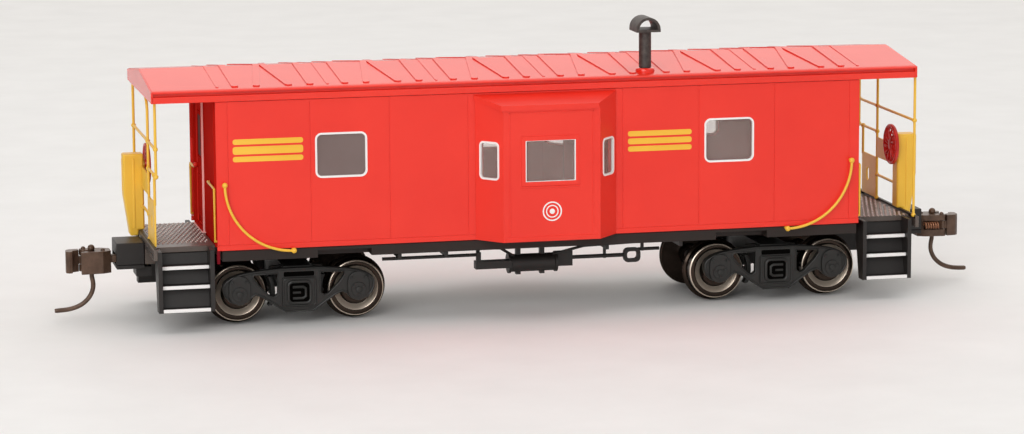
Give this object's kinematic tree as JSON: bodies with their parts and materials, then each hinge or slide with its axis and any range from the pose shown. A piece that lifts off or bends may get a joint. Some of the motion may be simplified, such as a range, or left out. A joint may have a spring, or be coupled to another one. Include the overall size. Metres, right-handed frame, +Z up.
{
  "type": "model railway caboose",
  "caption": "Red bay-window model railway caboose with swivelling trucks, rolling wheelsets, knuckle couplers, end platforms, railings and steps.",
  "frame": {"origin": "middle of the car in plan, at the lowest point of the wheel flanges", "axes": "+X along the car towards end b, -Y towards the right side with the smoke jack, +Z up; the rail head is 0.62 mm above the origin"},
  "size_m": [0.1632, 0.0426, 0.0504],
  "materials": {
    "red_plastic": "satin gloss red",
    "yellow_plastic": "satin safety yellow",
    "grey_plastic": "matte dark grey",
    "deck_plastic": "satin brown grey tread plate",
    "truck_plastic": "satin dark grey",
    "coupler_metal": "blackened brown metal",
    "wheel_metal": "turned, face blackened",
    "steel": "plain",
    "clear_plastic": "clear"
  },
  "bodies": {
    "root": {"body_shell": "red_plastic", "bay_right": "red_plastic", "bay_left": "red_plastic", "bay_glazing_right": "clear_plastic", "bay_glazing_left": "clear_plastic", "window_pane_right_1": "clear_plastic", "window_pane_right_2": "clear_plastic", "window_pane_left_1": "clear_plastic", "window_pane_left_2": "clear_plastic", "end_door_a": "red_plastic", "end_door_b": "red_plastic", "roof": "red_plastic", "smoke_jack": "grey_plastic", "underframe": "grey_plastic", "weight": "steel", "platform_a": "deck_plastic", "platform_b": "deck_plastic", "step_a_right": "grey_plastic", "step_a_left": "grey_plastic", "step_b_right": "grey_plastic", "step_b_left": "grey_plastic", "end_railing_a": "yellow_plastic", "end_railing_b": "yellow_plastic", "brake_housing_a": "yellow_plastic", "brake_housing_b": "yellow_plastic", "brake_wheel_a": "red_plastic", "brake_wheel_b": "red_plastic", "side_grab_iron_a_right": "yellow_plastic", "side_grab_iron_a_left": "yellow_plastic", "side_grab_iron_b_right": "yellow_plastic", "side_grab_iron_b_left": "yellow_plastic", "end_handrail_inner_a": "yellow_plastic", "end_handrail_outer_a": "yellow_plastic", "end_handrail_inner_b": "yellow_plastic", "end_handrail_outer_b": "yellow_plastic", "brake_rigging": "grey_plastic", "coupler_box_a": "grey_plastic", "coupler_box_b": "grey_plastic", "coupler_lid_a": "grey_plastic", "coupler_lid_b": "grey_plastic", "kingpin_screw_a": "steel", "kingpin_screw_b": "steel"},
    "truck_a": {"truck_frame_a": "truck_plastic"},
    "wheelset_a1": {"wheelset_a1": "wheel_metal"},
    "wheelset_a2": {"wheelset_a2": "wheel_metal"},
    "coupler_a": {"coupler_a": "coupler_metal"},
    "knuckle_a": {"knuckle_a": "coupler_metal", "trip_pin_a": "coupler_metal"},
    "truck_b": {"truck_frame_b": "truck_plastic"},
    "wheelset_b1": {"wheelset_b1": "wheel_metal"},
    "wheelset_b2": {"wheelset_b2": "wheel_metal"},
    "coupler_b": {"coupler_b": "coupler_metal"},
    "knuckle_b": {"knuckle_b": "coupler_metal", "trip_pin_b": "coupler_metal"}
  },
  "joints": [
    {"name": "truck_a_swivel", "type": "hinge", "parent": "root", "child": "truck_a", "pos_m": [-0.0418, 0, 0.00992], "axis": [0, 0, 1], "range_deg": [-8, 8]},
    {"name": "wheelset_a1_spin", "type": "hinge", "parent": "truck_a", "child": "wheelset_a1", "pos_m": [-0.0519, 0, 0.00542], "axis": [0, 1, 0], "continuous": true},
    {"name": "wheelset_a2_spin", "type": "hinge", "parent": "truck_a", "child": "wheelset_a2", "pos_m": [-0.0317, 0, 0.00542], "axis": [0, 1, 0], "continuous": true},
    {"name": "coupler_a_swing", "type": "hinge", "parent": "root", "child": "coupler_a", "pos_m": [-0.0689, 0, 0.01062], "axis": [0, 0, 1], "range_deg": [-10, 10]},
    {"name": "knuckle_a_open", "type": "hinge", "parent": "coupler_a", "child": "knuckle_a", "pos_m": [-0.0763, 0.0016, 0.01062], "axis": [0, 0, -1], "range_deg": [0, 20]},
    {"name": "truck_b_swivel", "type": "hinge", "parent": "root", "child": "truck_b", "pos_m": [0.0418, 0, 0.00992], "axis": [0, 0, 1], "range_deg": [-8, 8]},
    {"name": "wheelset_b1_spin", "type": "hinge", "parent": "truck_b", "child": "wheelset_b1", "pos_m": [0.0519, 0, 0.00542], "axis": [0, 1, 0], "continuous": true},
    {"name": "wheelset_b2_spin", "type": "hinge", "parent": "truck_b", "child": "wheelset_b2", "pos_m": [0.0317, 0, 0.00542], "axis": [0, 1, 0], "continuous": true},
    {"name": "coupler_b_swing", "type": "hinge", "parent": "root", "child": "coupler_b", "pos_m": [0.0689, 0, 0.01062], "axis": [0, 0, 1], "range_deg": [-10, 10]},
    {"name": "knuckle_b_open", "type": "hinge", "parent": "coupler_b", "child": "knuckle_b", "pos_m": [0.0763, -0.0016, 0.01062], "axis": [0, 0, -1], "range_deg": [0, 20]}
  ]
}
